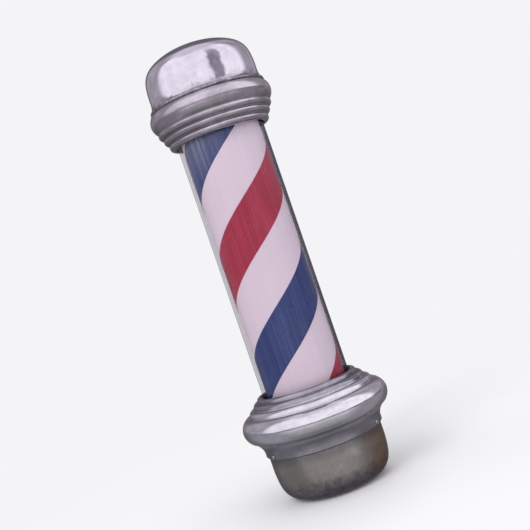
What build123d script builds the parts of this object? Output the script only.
from build123d import *
import math
import os

# Barber pole light: a striped drum turning inside a glass cylinder between two
# chrome end housings, hung from a rear channel that screws to a wall.
# Frame: +Z up, the wall is the plane y = 0, the front faces -Y, and the origin is
# the centre of the four wall screw holes.  Millimetres.
# Heights (h, _H) are measured from the bowl's foot, x and y from the pole axis.

os.makedirs("parts", exist_ok=True)

# ---------------------------------------------------------- driving dimensions
OVERALL_H = 622.0        # foot of the bowl to the crown of the dome
AXIS_Y = -139.7          # pole axis, in front of the wall
BASE_Z = -OVERALL_H / 2
WALL_Y = -AXIS_Y         # wall, from the pole axis

# Glass and the collars that hold it
COLLAR_R = 101.6         # widest radius of the bottom collar
TOP_BEAD_R = 85.0        # widest radius of the top collar
SOCKET_R = 61.6          # glass sockets in both collars
SOCKET_H0, SOCKET_H1 = 125.6, 512.5   # seats of the lower and upper sockets
GLASS_R, GLASS_T = 60.325, 3.0
GLASS_H0, GLASS_H1 = 128.6, 509.4
FIT_GAP = 0.05           # gap between touching pieces

# Stand-off arms, on flats machined on the collars
ARM_H_LOW, ARM_H_TOP = 105.0, 533.5
FLAT_LOW, FLAT_TOP = 95.0, 80.0
BORE_R_LOW, BORE_R_TOP = 9.5, 6.0     # cable bores through the arms
BOLT_X = 15.0            # arm bolts, either side of the bore
TAPPED_R, BOLT_HOLE_R = 3.04, 3.2

# Wall channel
WEB_Y, WEB_T = 121.7, 2.5             # front face and thickness of the web
WEB_BACK_Y = WEB_Y + WEB_T
CHANNEL_H0, CHANNEL_H1 = 62.0, 560.0

# Screw circles, each shared by the pieces that the screws join
GRUB_H = 549.2           # grub screws of the dome
RIM_SCREW_H = 70.0       # screws from the bottom collar into the bowl
PLATE_SCREW_CIRCLE = 57.5
LAMP_PLATE_SCREW_CIRCLE = 57.0
FLANGE_SCREW_CIRCLE = 15.0
CASE_SCREW_CIRCLE = 44.5
RAIL_SCREWS = ((8.0, 33.0), (-8.0, 33.0))


# -------------------------------------------------------------- places, planes
def polar(radius, degrees):
    angle = math.radians(degrees)
    return (radius * math.cos(angle), radius * math.sin(angle))


PROFILE = Plane(origin=(0, AXIS_Y, BASE_Z), x_dir=(1, 0, 0), z_dir=(0, -1, 0))
POLE = Axis((0, AXIS_Y, 0), (0, 0, 1))


def at(x, y, h):
    """Point in the frame, x and y from the pole axis and h above the bowl's foot."""
    return (x, AXIS_Y + y, BASE_Z + h)


def level(h, x=0.0, y=0.0):
    """Horizontal plane through at(x, y, h)."""
    return Plane(origin=at(x, y, h))


def facing_wall(y, h=0.0):
    """Upright plane whose normal points at the wall (+Y); its local x is -X."""
    return Plane(origin=at(0, y, h), x_dir=(-1, 0, 0), z_dir=(0, 1, 0))


def facing_front(x, y, h):
    """Upright plane whose normal points at the front (-Y)."""
    return Plane(origin=at(x, y, h), x_dir=(1, 0, 0), z_dir=(0, -1, 0))


def radial(degrees, radius, h):
    """Plane square to a radius, facing outwards, at an angle from +X."""
    c, s = polar(1.0, degrees)
    return Plane(origin=at(radius * c, radius * s, h), x_dir=(-s, c, 0), z_dir=(c, s, 0))


def thirds(radius, h):
    """Three radial planes, the first one facing the wall."""
    return [radial(degrees, radius, h) for degrees in (90, 210, 330)]


UPSIDE_DOWN = Location((0, 0, 0), (180, 0, 0))


# --------------------------------------------------------------- shared shapes
def save(name, part):
    part.label = name
    export_step(part, "parts/" + name + ".step")


def tube(plane, height, outer_r, inner_r=None):
    """Upright tube, or a solid rod where no inner radius is given."""
    with BuildPart() as piece:
        with BuildSketch(plane):
            Circle(outer_r)
            if inner_r is not None:
                Circle(inner_r, mode=Mode.SUBTRACT)
        extrude(amount=height)
    return piece.part


def turned(*outline):
    """Closed (radius, height) outline turned round the pole axis."""
    with BuildPart() as piece:
        with BuildSketch(PROFILE):
            with BuildLine():
                Polyline(*outline, outline[0])
            make_face()
        revolve(axis=POLE)
    return piece.part


def arm_holes(bore_r, bolt_r, depth):
    """Cable bore and two bolt holes at the current location."""
    Hole(radius=bore_r, depth=depth)
    with Locations((BOLT_X, 0), (-BOLT_X, 0)):
        Hole(radius=bolt_r, depth=depth)


def cables(wire_r, *runs):
    """Round wires; each run is a bend radius and the points the wire passes."""
    with BuildPart() as piece:
        for bend_r, points in runs:
            path = [at(*point) for point in points]
            start_dir = (Vector(*path[1]) - Vector(*path[0])).normalized()
            with BuildLine() as route:
                FilletPolyline(*path, radius=bend_r)
            with BuildSketch(Plane(origin=path[0], z_dir=start_dir)):
                Circle(wire_r)
            sweep(path=route.wires()[0])
    return piece.part


# Fasteners are modelled with the head above z = 0 and the shank below.

def slotted_screw(shank_r, shank_l, head_r, head_h, slot_w=0.9):
    with BuildPart() as screw:
        with BuildSketch(Plane.XY):
            Circle(head_r)
        extrude(amount=head_h)
        fillet(screw.faces().sort_by(Axis.Z)[-1].edges(), radius=head_h * 0.55)
        with BuildSketch(Plane.XY):
            Circle(shank_r)
        extrude(amount=-shank_l)
        chamfer(screw.faces().sort_by(Axis.Z)[0].edges(), length=shank_r * 0.3)
        with BuildSketch(Plane.XY.offset(head_h)):
            Rectangle(head_r * 2.2, slot_w)
        extrude(amount=-head_h * 0.5, mode=Mode.SUBTRACT)
    return screw.part


def hex_bolt(shank_r, shank_l, across, head_h):
    """Hexagon bolt with a round flange under its head."""
    with BuildPart() as bolt:
        with BuildSketch(Plane.XY):
            RegularPolygon(across / 2, 6, major_radius=False)
        extrude(amount=head_h)
        chamfer(bolt.faces().sort_by(Axis.Z)[-1].edges(), length=0.4)
        with BuildSketch(Plane.XY):
            Circle(across * 0.66)
        extrude(amount=0.9)
        with BuildSketch(Plane.XY):
            Circle(shank_r)
        extrude(amount=-shank_l)
        chamfer(bolt.faces().sort_by(Axis.Z)[0].edges(), length=0.5)
    return bolt.part


# ================================================================ outer casing
# Outlines are (radius, height) points.

# Domed top cover: a spun shell with soft shoulders, a low crown and a rolled foot.
DOME_FOOT_H = 546.25
DOME_OUTSIDE = (
    (78.3, 551.6), (76.3, 556.5), (75.6, 570.0), (74.7, 584.0), (71.6, 596.0),
    (65.2, 604.6), (54.5, 611.6), (38.0, 617.8), (18.0, 621.1), (0.0, OVERALL_H),
)
DOME_INSIDE = (
    (0.0, 620.4), (17.8, 619.5), (37.4, 616.3), (53.6, 610.2), (64.0, 603.5),
    (70.1, 595.3), (73.1, 583.8), (74.0, 570.0), (74.9, 552.5),
)
with BuildPart() as top_dome:
    with BuildSketch(PROFILE):
        with BuildLine():
            ThreePointArc((79.0, DOME_FOOT_H), (80.3, 549.0), DOME_OUTSIDE[0])
            Spline(*DOME_OUTSIDE, tangents=((-0.55, 0.83), (-1, 0)))
            Line(DOME_OUTSIDE[-1], DOME_INSIDE[0])
            Spline(*DOME_INSIDE, tangents=((1, 0), (0, -1)))
            Line(DOME_INSIDE[-1], (74.9, DOME_FOOT_H))
            Line((74.9, DOME_FOOT_H), (79.0, DOME_FOOT_H))
        make_face()
    revolve(axis=POLE)
    # tapped holes for the three grub screws that hold the cover on its spigot
    with Locations(*thirds(84, GRUB_H)):
        Hole(radius=2.02, depth=12)
save("top_dome", top_dome.part)

with BuildPart() as grub_screw:
    Cylinder(1.98, 4.6, align=(Align.CENTER, Align.CENTER, Align.MAX))
    with BuildSketch(Plane.XY):
        Rectangle(5, 0.7)
    extrude(amount=-1.0, mode=Mode.SUBTRACT)
with BuildPart() as dome_grub_screws:
    with Locations(*thirds(79.3, GRUB_H)):
        add(grub_screw.part)
save("dome_grub_screws", dome_grub_screws.part)

# Top collar: cast ring with two ridges, a rolled bead, the glass socket below,
# a web that carries the lamp plate, and a spigot that locates the dome.
LAMP_WEB_H = 516.0       # top of the web
with BuildPart() as top_collar:
    with BuildSketch(PROFILE):
        with BuildLine():
            Line((SOCKET_R, SOCKET_H1), (SOCKET_R, 495.2))
            Line((SOCKET_R, 495.2), (63.0, 493.8))
            Line((63.0, 493.8), (66.0, 493.8))
            ThreePointArc((66.0, 493.8), (70.0, 497.6), (69.0, 502.4))
            Line((69.0, 502.4), (69.9, 503.6))
            ThreePointArc((69.9, 503.6), (74.7, 507.0), (73.9, 511.6))
            Line((73.9, 511.6), (74.7, 512.8))
            ThreePointArc((74.7, 512.8), (79.5, 516.2), (78.7, 520.4))
            Line((78.7, 520.4), (79.6, 521.6))
            ThreePointArc((79.6, 521.6), (TOP_BEAD_R, 533.2), (81.4, 544.6))
            Line((81.4, 544.6), (80.0, 546.2))
            Line((80.0, 546.2), (74.6, 546.2))
            Line((74.6, 546.2), (74.6, 556.0))
            Polyline((74.6, 556.0), (71.6, 556.0), (71.6, 543.4), (78.4, 541.4), (81.6, 533.2),
                     (78.4, 526.0), (75.4, 522.6), (71.0, 519.4), (70.0, LAMP_WEB_H),
                     (48.0, LAMP_WEB_H), (48.0, SOCKET_H1), (SOCKET_R, SOCKET_H1))
        make_face()
    revolve(axis=POLE)
    # solid pad behind the bead, machined flat for the stand-off arm
    with BuildSketch(facing_wall(68.0, ARM_H_TOP)):
        Rectangle(50, 23)
    extrude(amount=15.5)
    with BuildSketch(facing_wall(FLAT_TOP, ARM_H_TOP)):
        Rectangle(70, 25)
    extrude(amount=20, mode=Mode.SUBTRACT)
    with Locations(facing_wall(FLAT_TOP, ARM_H_TOP)):
        arm_holes(BORE_R_TOP, TAPPED_R, depth=30)
    # tapped holes for the lamp plate screws
    with Locations(level(LAMP_WEB_H)):
        with PolarLocations(LAMP_PLATE_SCREW_CIRCLE, 3, 90):
            Hole(radius=1.98, depth=3.5)
save("top_collar", top_collar.part)

# Bottom collar: the widest casting, stepped ridges beside the glass, a full
# rolled belly, then a cove down to a plain ring that takes the bowl.
with BuildPart() as bottom_collar:
    with BuildSketch(PROFILE):
        with BuildLine():
            Line((SOCKET_R, SOCKET_H0), (SOCKET_R, 141.4))
            ThreePointArc((SOCKET_R, 141.4), (65.6, 144.6), (69.6, 141.2))
            Line((69.6, 141.2), (69.9, 138.8))
            ThreePointArc((69.9, 138.8), (75.0, 137.3), (77.6, 132.8))
            Line((77.6, 132.8), (78.0, 130.6))
            ThreePointArc((78.0, 130.6), (83.2, 129.3), (86.0, 125.0))
            Line((86.0, 125.0), (86.4, 122.8))
            Spline((86.4, 122.8), (92.8, 121.0), (98.2, 115.8), (COLLAR_R, 106.0),
                   (99.9, 97.4), (95.2, 91.0), tangents=((1, 0.12), (-0.75, -0.66)))
            ThreePointArc((95.2, 91.0), (86.3, 83.4), (81.8, 73.2))
            Line((81.8, 73.2), (81.8, 67.2))
            Line((81.8, 67.2), (80.6, 66.0))
            Polyline((80.6, 66.0), (78.9, 66.0), (78.9, 74.6), (83.4, 85.4), (92.0, 93.4),
                     (97.9, 106.0), (94.4, 114.2), (84.5, 118.8), (80.6, 124.0), (72.5, 130.2),
                     (66.5, 130.2), (66.5, 122.0), (48.0, 122.0), (48.0, SOCKET_H0),
                     (SOCKET_R, SOCKET_H0))
        make_face()
    revolve(axis=POLE)
    # solid pad behind the belly, machined flat for the stand-off arm
    with BuildSketch(facing_wall(78.0, ARM_H_LOW)):
        Rectangle(50, 27)
    extrude(amount=20.5)
    with BuildSketch(facing_wall(FLAT_LOW, ARM_H_LOW)):
        Rectangle(80, 27)
    extrude(amount=20, mode=Mode.SUBTRACT)
    with Locations(facing_wall(FLAT_LOW, ARM_H_LOW)):
        arm_holes(BORE_R_LOW, TAPPED_R, depth=30)
    # holes for the motor plate screws
    with Locations(level(SOCKET_H0)):
        with PolarLocations(PLATE_SCREW_CIRCLE, 4, 45):
            Hole(radius=1.98, depth=3.6)
    # screw holes through the lower ring into the bowl's rim
    with Locations(*thirds(84, RIM_SCREW_H)):
        Hole(radius=1.9, depth=8)
save("bottom_collar", bottom_collar.part)

# Bowl: spun cup closing the bottom, with a recessed base for switches and vents.
BOWL_RIM_H = 73.4
BOWL_FLOOR_H0, BOWL_FLOOR_H1 = 5.6, 7.4
SWITCH_X = 17.0          # switch centres, either side of the axis
SWITCH_PLACES = ((-SWITCH_X, 0), (SWITCH_X, 0))
BOWL_OUTSIDE = (
    (78.6, 60.0), (78.5, 45.0), (77.3, 30.0), (73.6, 15.6), (66.0, 5.8), (55.5, 1.0), (49.0, 0.0),
)
BOWL_INSIDE = (
    (49.0, 1.8), (54.8, 2.8), (64.8, 7.3), (72.0, 16.6), (75.5, 30.2), (76.7, 45.0), (76.8, 60.0),
)
with BuildPart() as bottom_bowl:
    with BuildSketch(PROFILE):
        with BuildLine():
            Line((78.6, BOWL_RIM_H), BOWL_OUTSIDE[0])
            Spline(*BOWL_OUTSIDE, tangents=((0, -1), (-1, -0.05)))
            ThreePointArc(BOWL_OUTSIDE[-1], (45.6, 1.2), (44.2, 4.6))
            Polyline((44.2, 4.6), (43.2, BOWL_FLOOR_H0), (0.0, BOWL_FLOOR_H0),
                     (0.0, BOWL_FLOOR_H1), (44.0, BOWL_FLOOR_H1), (45.4, 6.4))
            ThreePointArc((45.4, 6.4), (46.6, 2.9), BOWL_INSIDE[0])
            Spline(*BOWL_INSIDE, tangents=((1, 0.05), (0, 1)))
            Line(BOWL_INSIDE[-1], (76.8, BOWL_RIM_H))
            Line((76.8, BOWL_RIM_H), (78.6, BOWL_RIM_H))
        make_face()
    revolve(axis=POLE)
    # two switch cut-outs, a ring of vents, three tapped rim holes
    with BuildSketch(level(0)):
        with Locations(*SWITCH_PLACES):
            Rectangle(19.4, 13.4)
    extrude(amount=12, mode=Mode.SUBTRACT)
    with Locations(level(BOWL_FLOOR_H1)):
        with PolarLocations(36.0, 12, 15):
            Hole(radius=2.4, depth=2.0)
    with Locations(*thirds(84, RIM_SCREW_H)):
        Hole(radius=1.62, depth=12)
save("bottom_bowl", bottom_bowl.part)

with BuildPart() as bowl_screws:
    with Locations(*thirds(81.82, RIM_SCREW_H)):
        add(slotted_screw(shank_r=1.58, shank_l=7.0, head_r=2.9, head_h=1.7, slot_w=0.8))
save("bowl_screws", bowl_screws.part)

# =================================================================== the glass

with BuildPart() as glass_cylinder:
    with BuildSketch(level(GLASS_H0)):
        Circle(GLASS_R)
        Circle(GLASS_R - GLASS_T, mode=Mode.SUBTRACT)
    extrude(amount=GLASS_H1 - GLASS_H0)
    fillet(glass_cylinder.edges().filter_by(GeomType.CIRCLE), radius=0.6)
save("glass_cylinder", glass_cylinder.part)


def glass_gasket(seat_h, glass_h, lip_h):
    """Ring of L section: a pad between socket seat and glass, and a lip round the glass."""
    pad_inner_r, lip_inner_r = 56.6, 60.38
    outer_r = SOCKET_R - FIT_GAP
    return turned((pad_inner_r, seat_h), (outer_r, seat_h), (outer_r, lip_h),
                  (lip_inner_r, lip_h), (lip_inner_r, glass_h), (pad_inner_r, glass_h))


save("lower_glass_gasket",
     glass_gasket(SOCKET_H0 + FIT_GAP, GLASS_H0 - FIT_GAP, lip_h=142.6))
save("upper_glass_gasket",
     glass_gasket(SOCKET_H1 - FIT_GAP, GLASS_H1 + FIT_GAP, lip_h=494.4))

# ============================================================ the turning drum

DRUM_R, DRUM_T = 54.6, 1.5
DRUM_H0, DRUM_H1 = 131.0, 507.0
SPIDER_R = 53.06         # rims of the base and head, inside the drum
save("drum_shell", tube(level(DRUM_H0), DRUM_H1 - DRUM_H0, DRUM_R, DRUM_R - DRUM_T))

# Two vinyl bands wound on the drum as right-handed helices.
STRIPE_PITCH = 285.0     # rise of the helix in one turn
STRIPE_SHARE = 0.24      # share of the turn that each coloured stripe takes
RED_FRONT_H = 367.5      # height of the red stripe's centre line at the front
FILM_H0, FILM_H1 = DRUM_H0 + 0.2, DRUM_H1 - 0.2
FILM_R0 = DRUM_R + 0.05
FILM_R1 = FILM_R0 + 0.25


def film_stripe(front_h):
    """Stripe whose centre line passes the front (-Y) at front_h."""
    middle = -90.0 - (front_h - FILM_H0) / STRIPE_PITCH * 360.0   # angle at the film's foot
    first = middle - 180.0 * STRIPE_SHARE
    last = middle + 180.0 * STRIPE_SHARE
    with BuildPart() as stripe:
        with BuildLine() as axis_line:
            Line(at(0, 0, FILM_H0), at(0, 0, FILM_H1))
        with BuildLine(mode=Mode.PRIVATE) as guide:
            Helix(STRIPE_PITCH, FILM_H1 - FILM_H0, FILM_R1, center=at(0, 0, FILM_H0))
        with BuildSketch(level(FILM_H0)):
            with BuildLine():
                ThreePointArc(polar(FILM_R1, first), polar(FILM_R1, middle), polar(FILM_R1, last))
                Line(polar(FILM_R1, last), polar(FILM_R0, last))
                ThreePointArc(polar(FILM_R0, last), polar(FILM_R0, middle), polar(FILM_R0, first))
                Line(polar(FILM_R0, first), polar(FILM_R1, first))
            make_face()
        sweep(path=axis_line.wires()[0], binormal=guide.wires()[0])
    return stripe.part


save("red_stripe", film_stripe(RED_FRONT_H))
save("blue_stripe", film_stripe(RED_FRONT_H - STRIPE_PITCH / 2))

# Drum base: moulded spider with a rim glued inside the drum and a driven hub.
SPIDER_H0, SPIDER_H1 = 131.3, 134.3   # underside and top of the spider's disc
with BuildPart() as drum_base:
    with BuildSketch(PROFILE):
        with BuildLine():
            Polyline((4.04, SPIDER_H0), (SPIDER_R, SPIDER_H0), (SPIDER_R, 143.0), (50.8, 143.0),
                     (50.8, SPIDER_H1), (12.0, SPIDER_H1), (10.0, 140.0), (4.04, 140.0),
                     (4.04, SPIDER_H0))
        make_face()
    revolve(axis=POLE)
    with BuildSketch(level(SPIDER_H0)):
        with PolarLocations(34.0, 6):
            SlotOverall(24, 15, rotation=90)
    extrude(amount=SPIDER_H1 - SPIDER_H0, mode=Mode.SUBTRACT)
    with Locations(level(SPIDER_H1)):
        with PolarLocations(FLANGE_SCREW_CIRCLE, 3, 30):
            Hole(radius=1.6, depth=3.0)
save("drum_base", drum_base.part)

# Drum head: spider at the top whose centre ring turns on the guide bush.
HEAD_H = 499.0
with BuildPart() as drum_head:
    with BuildSketch(level(HEAD_H)):
        Circle(SPIDER_R)
        Circle(50.6, mode=Mode.SUBTRACT)
        Circle(35.0)
        with PolarLocations(42.5, 4, 45):
            Rectangle(19.0, 8.0)
        Circle(31.06, mode=Mode.SUBTRACT)
    extrude(amount=4.0)
    with BuildSketch(level(HEAD_H)):
        Circle(SPIDER_R)
        Circle(51.2, mode=Mode.SUBTRACT)
    extrude(amount=-8.0)
save("drum_head", drum_head.part)

# Drive flange: turned hub locked to the output shaft, screwed under the drum base.
FLANGE_H = 131.2         # top of the flange
SET_SCREW_H = 126.7
with BuildPart() as drive_flange:
    with BuildSketch(PROFILE):
        with BuildLine():
            Polyline((4.02, 125.2), (9.5, 125.2), (9.5, 128.2), (20.0, 128.2),
                     (20.0, FLANGE_H), (4.02, FLANGE_H), (4.02, 125.2))
        make_face()
    revolve(axis=POLE)
    with Locations(level(FLANGE_H)):
        with PolarLocations(FLANGE_SCREW_CIRCLE, 3, 30):
            Hole(radius=1.45, depth=3.0)
    with Locations(radial(0, 9.5, SET_SCREW_H)):
        Hole(radius=1.0, depth=8.0)
save("drive_flange", drive_flange.part)

with BuildPart() as flange_screws:
    with Locations(level(SPIDER_H1 + FIT_GAP)):
        with PolarLocations(FLANGE_SCREW_CIRCLE, 3, 30):
            add(slotted_screw(shank_r=1.42, shank_l=5.4, head_r=2.6, head_h=1.6, slot_w=0.7))
save("flange_screws", flange_screws.part)

with BuildPart() as hub_set_screw:
    with Locations(radial(0, 9.4, SET_SCREW_H)):
        Cylinder(0.97, 5.3, align=(Align.CENTER, Align.CENTER, Align.MAX))
save("hub_set_screw", hub_set_screw.part)

# ==================================================================== gearing

GEAR_MODULE = 0.8
PRESSURE = math.radians(25.0)
BACKLASH = 0.10
TEETH_ROTOR, TEETH_IDLER, TEETH_PINION, TEETH_OUTPUT = 12, 48, 12, 60
IDLER_ANGLE = 40.0       # direction from the output gear to the idler
ROTOR_ANGLE = 190.0      # direction from the idler to the rotor

# (x, y) centres; the output gear is on the pole axis
IDLER = polar(GEAR_MODULE * (TEETH_OUTPUT + TEETH_PINION) / 2, IDLER_ANGLE)
ROTOR_STEP = polar(GEAR_MODULE * (TEETH_IDLER + TEETH_ROTOR) / 2, ROTOR_ANGLE)
ROTOR = (IDLER[0] + ROTOR_STEP[0], IDLER[1] + ROTOR_STEP[1])
CASE = polar(12.0, IDLER_ANGLE)


def involute(angle):
    return math.tan(angle) - angle


def gear_outline(teeth, phase_deg):
    """Draws an involute gear in the open BuildLine, with one tooth centred on phase_deg."""
    pitch_r = GEAR_MODULE * teeth / 2
    base_r = pitch_r * math.cos(PRESSURE)
    tip_r = pitch_r + GEAR_MODULE
    root_r = pitch_r - 1.25 * GEAR_MODULE
    flank_r = max(root_r, base_r)      # where the involute starts
    mid_r = (flank_r + tip_r) / 2
    tooth_width = math.pi * GEAR_MODULE / 2 - BACKLASH / 2
    base_half = tooth_width / 2 / pitch_r + involute(PRESSURE)

    def half_angle(radius):
        """Half the angle that a tooth takes up at a radius."""
        if radius <= base_r:
            return base_half
        return base_half - involute(math.acos(base_r / radius))

    def point(radius, angle):
        return (radius * math.cos(angle), radius * math.sin(angle))

    foot, mid, tip = half_angle(flank_r), half_angle(mid_r), half_angle(tip_r)
    straight_foot = flank_r > root_r + 1e-6
    step = 2 * math.pi / teeth
    for i in range(teeth):
        tooth = math.radians(phase_deg) + i * step
        if straight_foot:
            Line(point(root_r, tooth - foot), point(flank_r, tooth - foot))
        ThreePointArc(point(flank_r, tooth - foot), point(mid_r, tooth - mid),
                      point(tip_r, tooth - tip))
        Line(point(tip_r, tooth - tip), point(tip_r, tooth + tip))
        ThreePointArc(point(tip_r, tooth + tip), point(mid_r, tooth + mid),
                      point(flank_r, tooth + foot))
        if straight_foot:
            Line(point(flank_r, tooth + foot), point(root_r, tooth + foot))
        Line(point(root_r, tooth + foot), point(root_r, tooth + step - foot))


# ============================================================= the gear motor

PLATE_H = 119.2          # underside of the motor plate
CASE_R, CASE_T = 40.0, 2.0
CASE_H0, CASE_H1 = 99.0, PLATE_H - FIT_GAP
CASE_FLOOR_H = CASE_H0 + CASE_T
EAR_T = 5.0              # screw ears round the case

with BuildPart() as motor_plate:
    with BuildSketch(level(PLATE_H)):
        Circle(64.0)
        with Locations(CASE):
            with PolarLocations(CASE_SCREW_CIRCLE, 4, 20):
                Circle(1.45, mode=Mode.SUBTRACT)
        with PolarLocations(PLATE_SCREW_CIRCLE, 4, 45):
            Circle(2.2, mode=Mode.SUBTRACT)
        Circle(7.05, mode=Mode.SUBTRACT)
        with Locations((-38, 22), (-45, -12)):
            SlotOverall(20, 9, rotation=60, mode=Mode.SUBTRACT)
    extrude(amount=2.75)
save("motor_plate", motor_plate.part)

with BuildPart() as motor_plate_screws:
    with Locations(level(PLATE_H - FIT_GAP)):
        with PolarLocations(PLATE_SCREW_CIRCLE, 4, 45):
            with Locations(UPSIDE_DOWN):
                add(slotted_screw(shank_r=1.94, shank_l=6.2, head_r=3.6, head_h=2.2))
save("motor_plate_screws", motor_plate_screws.part)

# Gear case: die-cast cup, open at the top against the motor plate.
SPINDLE_HOLE_H = 103.0
with BuildPart() as gear_case:
    with BuildSketch(level(CASE_H0, *CASE)):
        Circle(CASE_R)
    extrude(amount=CASE_H1 - CASE_H0)
    fillet(gear_case.faces().sort_by(Axis.Z)[0].edges(), radius=1.2)
    with BuildSketch(level(CASE_H1 - EAR_T, *CASE)):
        with PolarLocations(CASE_SCREW_CIRCLE, 4, 20):
            Circle(4.0)
        with PolarLocations(41.5, 4, 20):
            Rectangle(6.0, 8.0)
    extrude(amount=EAR_T)
    with BuildSketch(level(CASE_FLOOR_H, *CASE)):
        Circle(CASE_R - CASE_T)
    extrude(amount=CASE_H1 - CASE_FLOOR_H, mode=Mode.SUBTRACT)
    with Locations(level(CASE_H1, *CASE)):
        with PolarLocations(CASE_SCREW_CIRCLE, 4, 20):
            Hole(radius=1.7, depth=6)
    # bosses for the output shaft and idler pin, then holes for all three spindles
    with BuildSketch(level(CASE_FLOOR_H)):
        Circle(6.5)
        with Locations(IDLER):
            Circle(4.0)
    extrude(amount=1.2)
    with Locations(level(SPINDLE_HOLE_H)):
        Hole(radius=3.05, depth=2.6)
    with Locations(level(SPINDLE_HOLE_H, *IDLER)):
        Hole(radius=1.5, depth=3.4)
    with Locations(level(SPINDLE_HOLE_H, *ROTOR)):
        Hole(radius=1.56, depth=10)
save("gear_case", gear_case.part)

with BuildPart() as gear_case_screws:
    with Locations(level(CASE_H1 - EAR_T - FIT_GAP, *CASE)):
        with PolarLocations(CASE_SCREW_CIRCLE, 4, 20):
            with Locations(UPSIDE_DOWN):
                add(slotted_screw(shank_r=1.42, shank_l=7.4, head_r=2.8, head_h=1.6, slot_w=0.7))
save("gear_case_screws", gear_case_screws.part)

# Output gear and shaft, on the pole axis. A tooth points at the idler.
OUTPUT_GEAR_H, OUTPUT_GEAR_T = 110.2, 4.8
OUTPUT_BORE_R = 4.01
with BuildPart() as output_gear:
    with BuildSketch(level(OUTPUT_GEAR_H)):
        with BuildLine():
            gear_outline(TEETH_OUTPUT, IDLER_ANGLE)
        make_face()
        Circle(OUTPUT_BORE_R, mode=Mode.SUBTRACT)
        with PolarLocations(14.0, 5):
            Circle(4.2, mode=Mode.SUBTRACT)
    extrude(amount=OUTPUT_GEAR_T)
    with BuildSketch(level(OUTPUT_GEAR_H + OUTPUT_GEAR_T)):
        Circle(7.5)
        Circle(OUTPUT_BORE_R, mode=Mode.SUBTRACT)
    extrude(amount=1.8)
save("output_gear", output_gear.part)

SHAFT_H = 102.3          # shoulder above the shaft's lower journal
with BuildPart() as output_shaft:
    with BuildSketch(level(SHAFT_H)):
        Circle(4.0)
    extrude(amount=37.4)
    with BuildSketch(level(SHAFT_H)):
        Circle(3.0)
    extrude(amount=-1.6)
    chamfer(output_shaft.faces().sort_by(Axis.Z)[-1].edges(), length=0.5)
save("output_shaft", output_shaft.part)

# Idler: a large gear driven by the rotor, and a pinion driving the output gear.
IDLER_H, IDLER_T = 103.6, 4.4
IDLER_BORE_R = 1.56
with BuildPart() as idler_gear:
    with BuildSketch(level(IDLER_H, *IDLER)):
        with BuildLine():
            gear_outline(TEETH_IDLER, ROTOR_ANGLE)
        make_face()
        Circle(IDLER_BORE_R, mode=Mode.SUBTRACT)
        with PolarLocations(12.0, 4):
            Circle(3.4, mode=Mode.SUBTRACT)
    extrude(amount=IDLER_T)
    with BuildSketch(level(IDLER_H + IDLER_T, *IDLER)):
        with BuildLine():
            gear_outline(TEETH_PINION, IDLER_ANGLE + 180.0 + 180.0 / TEETH_PINION)
        make_face()
        Circle(IDLER_BORE_R, mode=Mode.SUBTRACT)
    extrude(amount=8.0)
save("idler_gear", idler_gear.part)
save("idler_pin", tube(level(99.7, *IDLER), 19.3, 1.49))

# Rotor: ferrite drum on a steel shaft with its brass pinion.
ROTOR_SHAFT_R, ROTOR_BORE_R = 1.5, 1.52
with BuildPart() as rotor_magnet:
    with BuildSketch(level(79.0, *ROTOR)):
        Circle(14.0)
        Circle(ROTOR_BORE_R, mode=Mode.SUBTRACT)
    extrude(amount=16.0)
    outer_edges = rotor_magnet.edges().filter_by(GeomType.CIRCLE).group_by(SortBy.RADIUS)[-1]
    chamfer(outer_edges, length=0.6)
save("rotor_magnet", rotor_magnet.part)
save("rotor_shaft", tube(level(76.9, *ROTOR), 32.3, ROTOR_SHAFT_R))

with BuildPart() as rotor_pinion:
    with BuildSketch(level(103.4, *ROTOR)):
        with BuildLine():
            gear_outline(TEETH_ROTOR, ROTOR_ANGLE + 180.0 + 180.0 / TEETH_ROTOR)
        make_face()
        Circle(ROTOR_BORE_R, mode=Mode.SUBTRACT)
    extrude(amount=5.2)
save("rotor_pinion", rotor_pinion.part)

# Motor can: cup under the gear case, with a box on its side where the leads leave.
CAN_R, CAN_T = 26.0, 1.2
CAN_H, CAN_HEIGHT = 75.0, 23.9
with BuildPart() as motor_can:
    with BuildSketch(level(CAN_H, *ROTOR)):
        Circle(CAN_R)
    extrude(amount=CAN_HEIGHT)
    fillet(motor_can.faces().sort_by(Axis.Z)[0].edges(), radius=2.0)
    with BuildSketch(level(82.0)):
        with Locations((-14.1, -6.5)):
            Rectangle(8.8, 12.0)
    extrude(amount=8.0)
    with BuildSketch(level(CAN_H + CAN_T, *ROTOR)):
        Circle(CAN_R - CAN_T)
    extrude(amount=CAN_HEIGHT - CAN_T, mode=Mode.SUBTRACT)
    # boss round the rotor shaft
    with BuildSketch(level(CAN_H + CAN_T, *ROTOR)):
        Circle(3.4)
        Circle(1.56, mode=Mode.SUBTRACT)
    extrude(amount=1.6)
save("motor_can", motor_can.part)

# Stator coil: ring round the magnet, waisted between two end flanges.
with BuildPart() as stator_coil:
    with BuildSketch(level(78.4, *ROTOR)):
        Circle(24.7)
        Circle(15.2, mode=Mode.SUBTRACT)
    extrude(amount=17.0)
    with BuildSketch(level(80.0, *ROTOR)):
        Circle(26.0)
        Circle(23.8, mode=Mode.SUBTRACT)
    extrude(amount=13.8, mode=Mode.SUBTRACT)
save("stator_coil", stator_coil.part)

save("shaft_bush", turned((4.05, 117.6), (7.0, 117.6), (7.0, 122.0), (10.0, 122.0),
                          (10.0, 123.4), (4.05, 123.4)))
save("thrust_washer", tube(level(123.5), 1.6, 9.4, 4.3))

# ================================================================== the lamp

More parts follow.
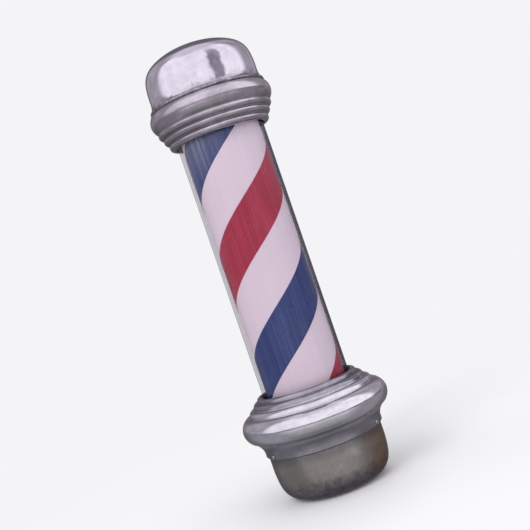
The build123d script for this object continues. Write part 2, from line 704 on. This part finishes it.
# Lamp plate: disc on the top collar's web with a neck hanging from its centre.
LAMP_PLATE_H0, LAMP_PLATE_H1 = 516.1, 518.1
NECK_R = 28.0
with BuildPart() as lamp_plate:
    with BuildSketch(PROFILE):
        with BuildLine():
            Polyline((26.0, 496.0), (NECK_R, 496.0), (NECK_R, LAMP_PLATE_H0),
                     (66.0, LAMP_PLATE_H0), (66.0, LAMP_PLATE_H1), (26.0, LAMP_PLATE_H1),
                     (26.0, 496.0))
        make_face()
    revolve(axis=POLE)
    with BuildSketch(level(LAMP_PLATE_H0)):
        with PolarLocations(LAMP_PLATE_SCREW_CIRCLE, 3, 90):
            Circle(2.2)
        with PolarLocations(45.0, 3, 30):
            SlotOverall(30, 10, rotation=90)
    extrude(amount=2.0, mode=Mode.SUBTRACT)
    with Locations(level(LAMP_PLATE_H1)):
        with Locations(*RAIL_SCREWS):
            Hole(radius=1.4, depth=2)
save("lamp_plate", lamp_plate.part)

with BuildPart() as lamp_plate_screws:
    with Locations(level(LAMP_PLATE_H1 + FIT_GAP)):
        with PolarLocations(LAMP_PLATE_SCREW_CIRCLE, 3, 90):
            add(slotted_screw(shank_r=1.94, shank_l=5.4, head_r=3.6, head_h=2.2))
save("lamp_plate_screws", lamp_plate_screws.part)

# Guide bush: flanged sleeve on the neck, kept up by a circlip.
NECK_BORE_R = NECK_R + 0.03
BUSH_H, BUSH_L = 498.2, 7.0
with BuildPart() as guide_bush:
    with BuildSketch(level(BUSH_H)):
        Circle(31.0)
        Circle(NECK_BORE_R, mode=Mode.SUBTRACT)
    extrude(amount=BUSH_L)
    with BuildSketch(level(BUSH_H + BUSH_L)):
        Circle(34.0)
        Circle(NECK_BORE_R, mode=Mode.SUBTRACT)
    extrude(amount=1.6)
save("guide_bush", guide_bush.part)

with BuildPart() as bush_circlip:
    with BuildSketch(level(496.9)):
        Circle(30.2)
        Circle(NECK_BORE_R, mode=Mode.SUBTRACT)
        with Locations((29.0, 0)):
            Rectangle(6, 5, mode=Mode.SUBTRACT)
    extrude(amount=1.2)
save("bush_circlip", bush_circlip.part)

# Lamp rail: folded channel hanging through the neck, with a tab on the lamp plate.
RAIL_TAB_H, RAIL_TAB_T = 518.2, 1.2
with BuildPart() as lamp_rail:
    with BuildSketch(level(143.0, 0, 12.5)):
        Rectangle(20, 9)
        with Locations((0, -1.0)):
            Rectangle(17.6, 9, mode=Mode.SUBTRACT)
    extrude(amount=376.3)
    with BuildSketch(level(RAIL_TAB_H, 0, 27.5)):
        Rectangle(26, 23)
    extrude(amount=RAIL_TAB_T)
    with Locations(level(RAIL_TAB_H + RAIL_TAB_T)):
        with Locations(*RAIL_SCREWS):
            Hole(radius=1.6, depth=RAIL_TAB_T)
save("lamp_rail", lamp_rail.part)

with BuildPart() as lamp_rail_screws:
    with Locations(level(RAIL_TAB_H + RAIL_TAB_T + FIT_GAP)):
        with Locations(*RAIL_SCREWS):
            add(slotted_screw(shank_r=1.36, shank_l=3.6, head_r=2.6, head_h=1.5, slot_w=0.7))
save("lamp_rail_screws", lamp_rail_screws.part)

LAMP_Y = -6.0
LAMP_H0, LAMP_H1 = 157.0, 484.0       # outer faces of the two lamp caps
CAP_L = 12.0
PIN_PLACES = ((6.35, 0), (-6.35, 0))

save("lamp_tube", tube(level(LAMP_H0 + 6, 0, LAMP_Y), LAMP_H1 - LAMP_H0 - 12, 12.4, 11.6))

# End caps of the lamp, each hollowed for the tube and carrying two pins.
with BuildPart() as lamp_caps:
    for h in (LAMP_H0, LAMP_H1 - CAP_L):
        with BuildSketch(level(h, 0, LAMP_Y)):
            Circle(13.0)
        extrude(amount=CAP_L)
    for h in (LAMP_H0 + 5.9, LAMP_H1 - 12.1):
        with BuildSketch(level(h, 0, LAMP_Y)):
            Circle(12.45)
        extrude(amount=6.2, mode=Mode.SUBTRACT)
    for h, pin_l in ((LAMP_H0, -7.0), (LAMP_H1, 7.0)):
        with BuildSketch(level(h, 0, LAMP_Y)):
            with Locations(*PIN_PLACES):
                Circle(1.2)
        extrude(amount=pin_l)
save("lamp_caps", lamp_caps.part)


def lampholder(face_h, away):
    """Two-pin lampholder with its socket face at face_h; its body runs up (+1) or down (-1)."""
    with BuildPart() as holder:
        with BuildSketch(level(face_h, 0, LAMP_Y)):
            with Locations((0, 1.0)):
                RectangleRounded(25, 25.6, 6)
            with Locations((0, 15.6)):
                Rectangle(17.0, 6.0)
        extrude(amount=9.0 * away)
        with BuildSketch(level(face_h, 0, LAMP_Y)):
            with Locations(*PIN_PLACES):
                Circle(1.35)
        extrude(amount=7.6 * away, mode=Mode.SUBTRACT)
    return holder.part


save("lower_lampholder", lampholder(LAMP_H0 - 0.3, -1))
save("upper_lampholder", lampholder(LAMP_H1 + 0.3, 1))

# Lamp driver: box standing on two feet on the lamp plate.
DRIVER_Y = -14.0
DRIVER_H0, DRIVER_FOOT = 521.6, 3.4
DRIVER_H1 = DRIVER_H0 + 26.0
with BuildPart() as lamp_driver:
    with BuildSketch(level(DRIVER_H0, 0, DRIVER_Y)):
        RectangleRounded(92, 34, 2)
    extrude(amount=DRIVER_H1 - DRIVER_H0)
    with BuildSketch(level(DRIVER_H0 - DRIVER_FOOT, 0, DRIVER_Y)):
        with Locations((-40, 0), (40, 0)):
            Rectangle(11, 16)
    extrude(amount=DRIVER_FOOT)
    chamfer(lamp_driver.faces().sort_by(Axis.Z)[-1].edges(), length=1.2)
    # parting line between the tray and its lid
    with BuildSketch(level(540.4, 0, DRIVER_Y)):
        Rectangle(94, 36)
        RectangleRounded(91, 33, 1.5, mode=Mode.SUBTRACT)
    extrude(amount=0.7, mode=Mode.SUBTRACT)
    # cooling slots in the lid
    with BuildSketch(level(DRIVER_H1, 0, DRIVER_Y)):
        with GridLocations(4.0, 10.0, 11, 1):
            SlotOverall(18, 1.6, rotation=90)
    extrude(amount=-0.9, mode=Mode.SUBTRACT)
    # heads of the four lid rivets
    with BuildSketch(level(DRIVER_H1 - 0.1, 0, DRIVER_Y)):
        with GridLocations(78, 22, 2, 2):
            Circle(1.9)
    extrude(amount=0.9)
    # sleeve round the way in for the cable
    with BuildSketch(facing_wall(2.9, ARM_H_TOP)):
        Circle(5.2)
        Circle(3.3, mode=Mode.SUBTRACT)
    extrude(amount=1.9)
save("lamp_driver", lamp_driver.part)

# ======================================================== channel and its arms

# Wall channel: hat section, open towards the wall, with a flange at each side.
FLANGE_X, CHANNEL_X, INSIDE_X = 40, 25, 22.5
FLANGE_Y = WALL_Y - WEB_T
with BuildPart() as wall_channel:
    with BuildSketch(level(CHANNEL_H0)):
        with BuildLine():
            Polyline((-FLANGE_X, WALL_Y), (-FLANGE_X, FLANGE_Y), (-CHANNEL_X, FLANGE_Y),
                     (-CHANNEL_X, WEB_Y), (CHANNEL_X, WEB_Y), (CHANNEL_X, FLANGE_Y),
                     (FLANGE_X, FLANGE_Y), (FLANGE_X, WALL_Y), (INSIDE_X, WALL_Y),
                     (INSIDE_X, WEB_BACK_Y), (-INSIDE_X, WEB_BACK_Y), (-INSIDE_X, WALL_Y),
                     (-FLANGE_X, WALL_Y))
        make_face()
    extrude(amount=CHANNEL_H1 - CHANNEL_H0)
    fillet(wall_channel.edges().filter_by(Axis.Z).group_by(Axis.Y)[0], radius=1.6)
    # wall screw holes
    with Locations(facing_wall(WALL_Y, OVERALL_H / 2)):
        with GridLocations(65.0, 430.0, 2, 2):
            Hole(radius=2.75, depth=3.0)
    for arm_h, bore_r in ((ARM_H_LOW, BORE_R_LOW), (ARM_H_TOP, BORE_R_TOP)):
        with Locations(facing_wall(WEB_BACK_Y, arm_h)):
            arm_holes(bore_r, BOLT_HOLE_R, depth=4)
save("wall_channel", wall_channel.part)

# End caps: a plate over each end of the channel with a hollow plug inside it.
PLUG_Y = (WEB_BACK_Y + WALL_Y) / 2 - 0.4
PLUG_DEPTH = WALL_Y - WEB_BACK_Y
CAP_ENDS = (             # underside of the plate, start of the plug, length of the plug
    (CHANNEL_H0 - 2.0, CHANNEL_H0 - 0.1, 8.0),
    (CHANNEL_H1 + 0.05, CHANNEL_H1 + 0.1, -8.0),
)
with BuildPart() as channel_end_caps:
    for plate_h, plug_h, plug_l in CAP_ENDS:
        with BuildSketch(level(plate_h)):
            with Locations((0, (WEB_Y + WALL_Y) / 2)):
                Rectangle(2 * CHANNEL_X, WALL_Y - WEB_Y)
        extrude(amount=1.95)
        with BuildSketch(level(plug_h)):
            with Locations((0, PLUG_Y)):
                Rectangle(44.8, PLUG_DEPTH - 1.0)
                Rectangle(41.8, PLUG_DEPTH - 4.0, mode=Mode.SUBTRACT)
        extrude(amount=plug_l)
save("channel_end_caps", channel_end_caps.part)


def stand_off_arm(flat_y, arm_h, thickness, bore_r, hole_depth):
    """Round-ended bar from a collar's flat to the channel's web."""
    with BuildPart() as arm:
        with BuildSketch(facing_wall(flat_y + 0.02, arm_h)):
            SlotOverall(48, thickness)
        extrude(amount=WEB_Y - flat_y - 0.04)
        with Locations(facing_wall(WEB_Y, arm_h)):
            arm_holes(bore_r, BOLT_HOLE_R, hole_depth)
    return arm.part


def arm_bolts(arm_h, shank_l):
    """Two bolts with their heads behind the channel's web."""
    with BuildPart() as bolts:
        with Locations(facing_wall(WEB_BACK_Y + 0.02, arm_h)):
            with Locations((BOLT_X, 0), (-BOLT_X, 0)):
                add(hex_bolt(shank_r=3.0, shank_l=shank_l, across=10.0, head_h=5.0))
    return bolts.part


save("lower_arm",
     stand_off_arm(FLAT_LOW, ARM_H_LOW, thickness=24, bore_r=BORE_R_LOW, hole_depth=40))
save("upper_arm",
     stand_off_arm(FLAT_TOP, ARM_H_TOP, thickness=20, bore_r=BORE_R_TOP, hole_depth=60))
save("lower_arm_bolts", arm_bolts(ARM_H_LOW, shank_l=44.0))
save("upper_arm_bolts", arm_bolts(ARM_H_TOP, shank_l=54.0))

# ================================================================ electrics

CABLE_X = 4.4            # lamp cable at +x, supply cable at -x
TERMINAL_Y = -49.0

# Rubber plug in the lower arm's mouth with a snug way through for each cable.
# Its flange and its body: (y, radius, length).
GROMMET_STEPS = ((76.0, 11.4, 1.95), (77.9, 9.4, 7.0))
with BuildPart() as cable_grommet:
    for step_y, step_r, step_l in GROMMET_STEPS:
        with BuildSketch(facing_wall(step_y, ARM_H_LOW)):
            Circle(step_r)
            with Locations((CABLE_X, 0)):
                Circle(3.55, mode=Mode.SUBTRACT)
            with Locations((-CABLE_X, 0)):
                Circle(2.85, mode=Mode.SUBTRACT)
        extrude(amount=step_l)
save("cable_grommet", cable_grommet.part)

# Cable and lead routes are (x, y, height) points.
save("supply_cable", cables(3.5, (10, (
    (-CABLE_X, 139.0, ARM_H_LOW), (-CABLE_X, 62, ARM_H_LOW), (-CABLE_X, 62, 60),
    (-CABLE_X, TERMINAL_Y, 60), (-CABLE_X, TERMINAL_Y, 110.5)))))

save("lamp_cable", cables(2.8, (6, (
    (CABLE_X, TERMINAL_Y, 110.5), (CABLE_X, TERMINAL_Y, 64), (CABLE_X, 62, 64),
    (CABLE_X, 62, ARM_H_LOW), (CABLE_X, 131.5, ARM_H_LOW), (0, 131.5, 160),
    (0, 131.5, ARM_H_TOP), (0, 3.05, ARM_H_TOP)))))

with BuildPart() as terminal_block:
    with BuildSketch(level(107.0, 0, TERMINAL_Y)):
        Rectangle(44, 17)
    extrude(amount=12.1)
    chamfer(terminal_block.faces().sort_by(Axis.Z)[0].edges().filter_by(Axis.X), length=2.0)
    # ways for the cables and leads, from below
    with BuildSketch(level(104.0, 0, TERMINAL_Y)):
        with Locations((-CABLE_X, 0), (CABLE_X, 0), (-14, 0), (14, 0)):
            Circle(3.8)
    extrude(amount=8.0, mode=Mode.SUBTRACT)
    # barriers between the ways on the front, and a well over each clamp
    with BuildSketch(level(109.5, 0, -58.2)):
        with Locations((-18.7, 0), (-9.3, 0), (0, 0), (9.3, 0), (18.7, 0)):
            Rectangle(1.2, 2.0)
    extrude(amount=9.0)
    with BuildSketch(facing_front(0, -57.5, 114.0)):
        with Locations((-14.0, 0), (-4.6, 0), (4.6, 0), (14.0, 0)):
            Circle(2.2)
    extrude(amount=-2.4, mode=Mode.SUBTRACT)
save("terminal_block", terminal_block.part)

LEAD_R = 1.0
LEAD_X = (12.6, 15.6)    # leads at the terminal block, on either side
LEAD_END_H = 110
save("motor_leads", cables(LEAD_R, *[
    (3, ((-x, -12.55, 86), (-x, -38, 86), (-x, TERMINAL_Y, 92), (-x, TERMINAL_Y, LEAD_END_H)))
    for x in LEAD_X]))

# Rocker switches let into the bowl's recessed base: one for the lamp, one for the motor.
ROCKER_H = 6.6           # height of both rocker pivots

with BuildPart() as switch_bodies:
    # flange below the bowl's floor, then the body above
    with BuildSketch(level(3.4)):
        with Locations(*SWITCH_PLACES):
            RectangleRounded(21.4, 15.4, 1.2)
    extrude(amount=2.15)
    with BuildSketch(level(5.5)):
        with Locations(*SWITCH_PLACES):
            Rectangle(19.2, 13.2)
    extrude(amount=15.0)
    # well for the rocker
    with BuildSketch(level(3.0)):
        with Locations(*SWITCH_PLACES):
            Rectangle(16.4, 11.2)
    extrude(amount=11.0, mode=Mode.SUBTRACT)
    # pivot pegs in the side walls, each running in the rocker
    for peg_y, peg_l in ((-5.7, 1.5), (5.7, -1.5)):
        with BuildSketch(facing_wall(peg_y, ROCKER_H)):
            with Locations(*SWITCH_PLACES):
                Circle(0.9)
        extrude(amount=peg_l)
    # spade terminals
    with BuildSketch(level(20.4)):
        with Locations((-22, 0), (-12, 0), (12, 0), (22, 0)):
            Rectangle(0.8, 4.8)
    extrude(amount=7.5)
save("switch_bodies", switch_bodies.part)


def rocker(centre_x):
    """Rocker tilted about its pivot, which runs along Y at (centre_x, 0, ROCKER_H)."""
    with BuildPart() as piece:
        with BuildSketch(facing_front(centre_x, -5.4, ROCKER_H)):
            with BuildLine():
                Polyline((-7.2, -1.0), (-7.4, -3.2))
                ThreePointArc((-7.4, -3.2), (0.0, -2.7), (7.4, -3.2))
                Polyline((7.4, -3.2), (7.2, -1.0), (3.0, 1.8), (2.2, 4.2), (-2.2, 4.2),
                         (-3.0, 1.8), (-7.2, -1.0))
            make_face()
            Circle(0.97, mode=Mode.SUBTRACT)
        extrude(amount=-10.8)
    return piece.part.rotate(Axis(at(centre_x, 0, ROCKER_H), (0, 1, 0)), 10.0)


save("lamp_rocker", rocker(-SWITCH_X))
save("motor_rocker", rocker(SWITCH_X))

# Two leads up to the terminal block, and one joining the outer spades.
SPADE_H = 28.0           # start of the leads, above the spades
save("switch_leads", cables(
    LEAD_R,
    (4, ((12, 0, SPADE_H), (12, 0, 40), (LEAD_X[0], TERMINAL_Y, 52),
         (LEAD_X[0], TERMINAL_Y, LEAD_END_H))),
    (4, ((-12, 0, SPADE_H), (-12, 0, 34), (LEAD_X[1], TERMINAL_Y, 44),
         (LEAD_X[1], TERMINAL_Y, LEAD_END_H))),
    (3, ((-22, 0, SPADE_H), (-22, 0, 34), (-22, 12, 42), (22, 12, 42), (22, 0, 34),
         (22, 0, SPADE_H)))))

# Two leads from the driver down the lamp rail to the lampholders.
save("lamp_leads", cables(
    LEAD_R,
    (2, ((3, 3.05, 527), (3, 13.9, 527), (3, 13.9, 503), (3, 10.0, 498), (3, 10.0, 493.4))),
    (2, ((-3, 3.05, 527), (-3, 14.2, 527), (-3, 14.2, 168), (-3, 10.0, 163),
         (-3, 10.0, 156.8)))))
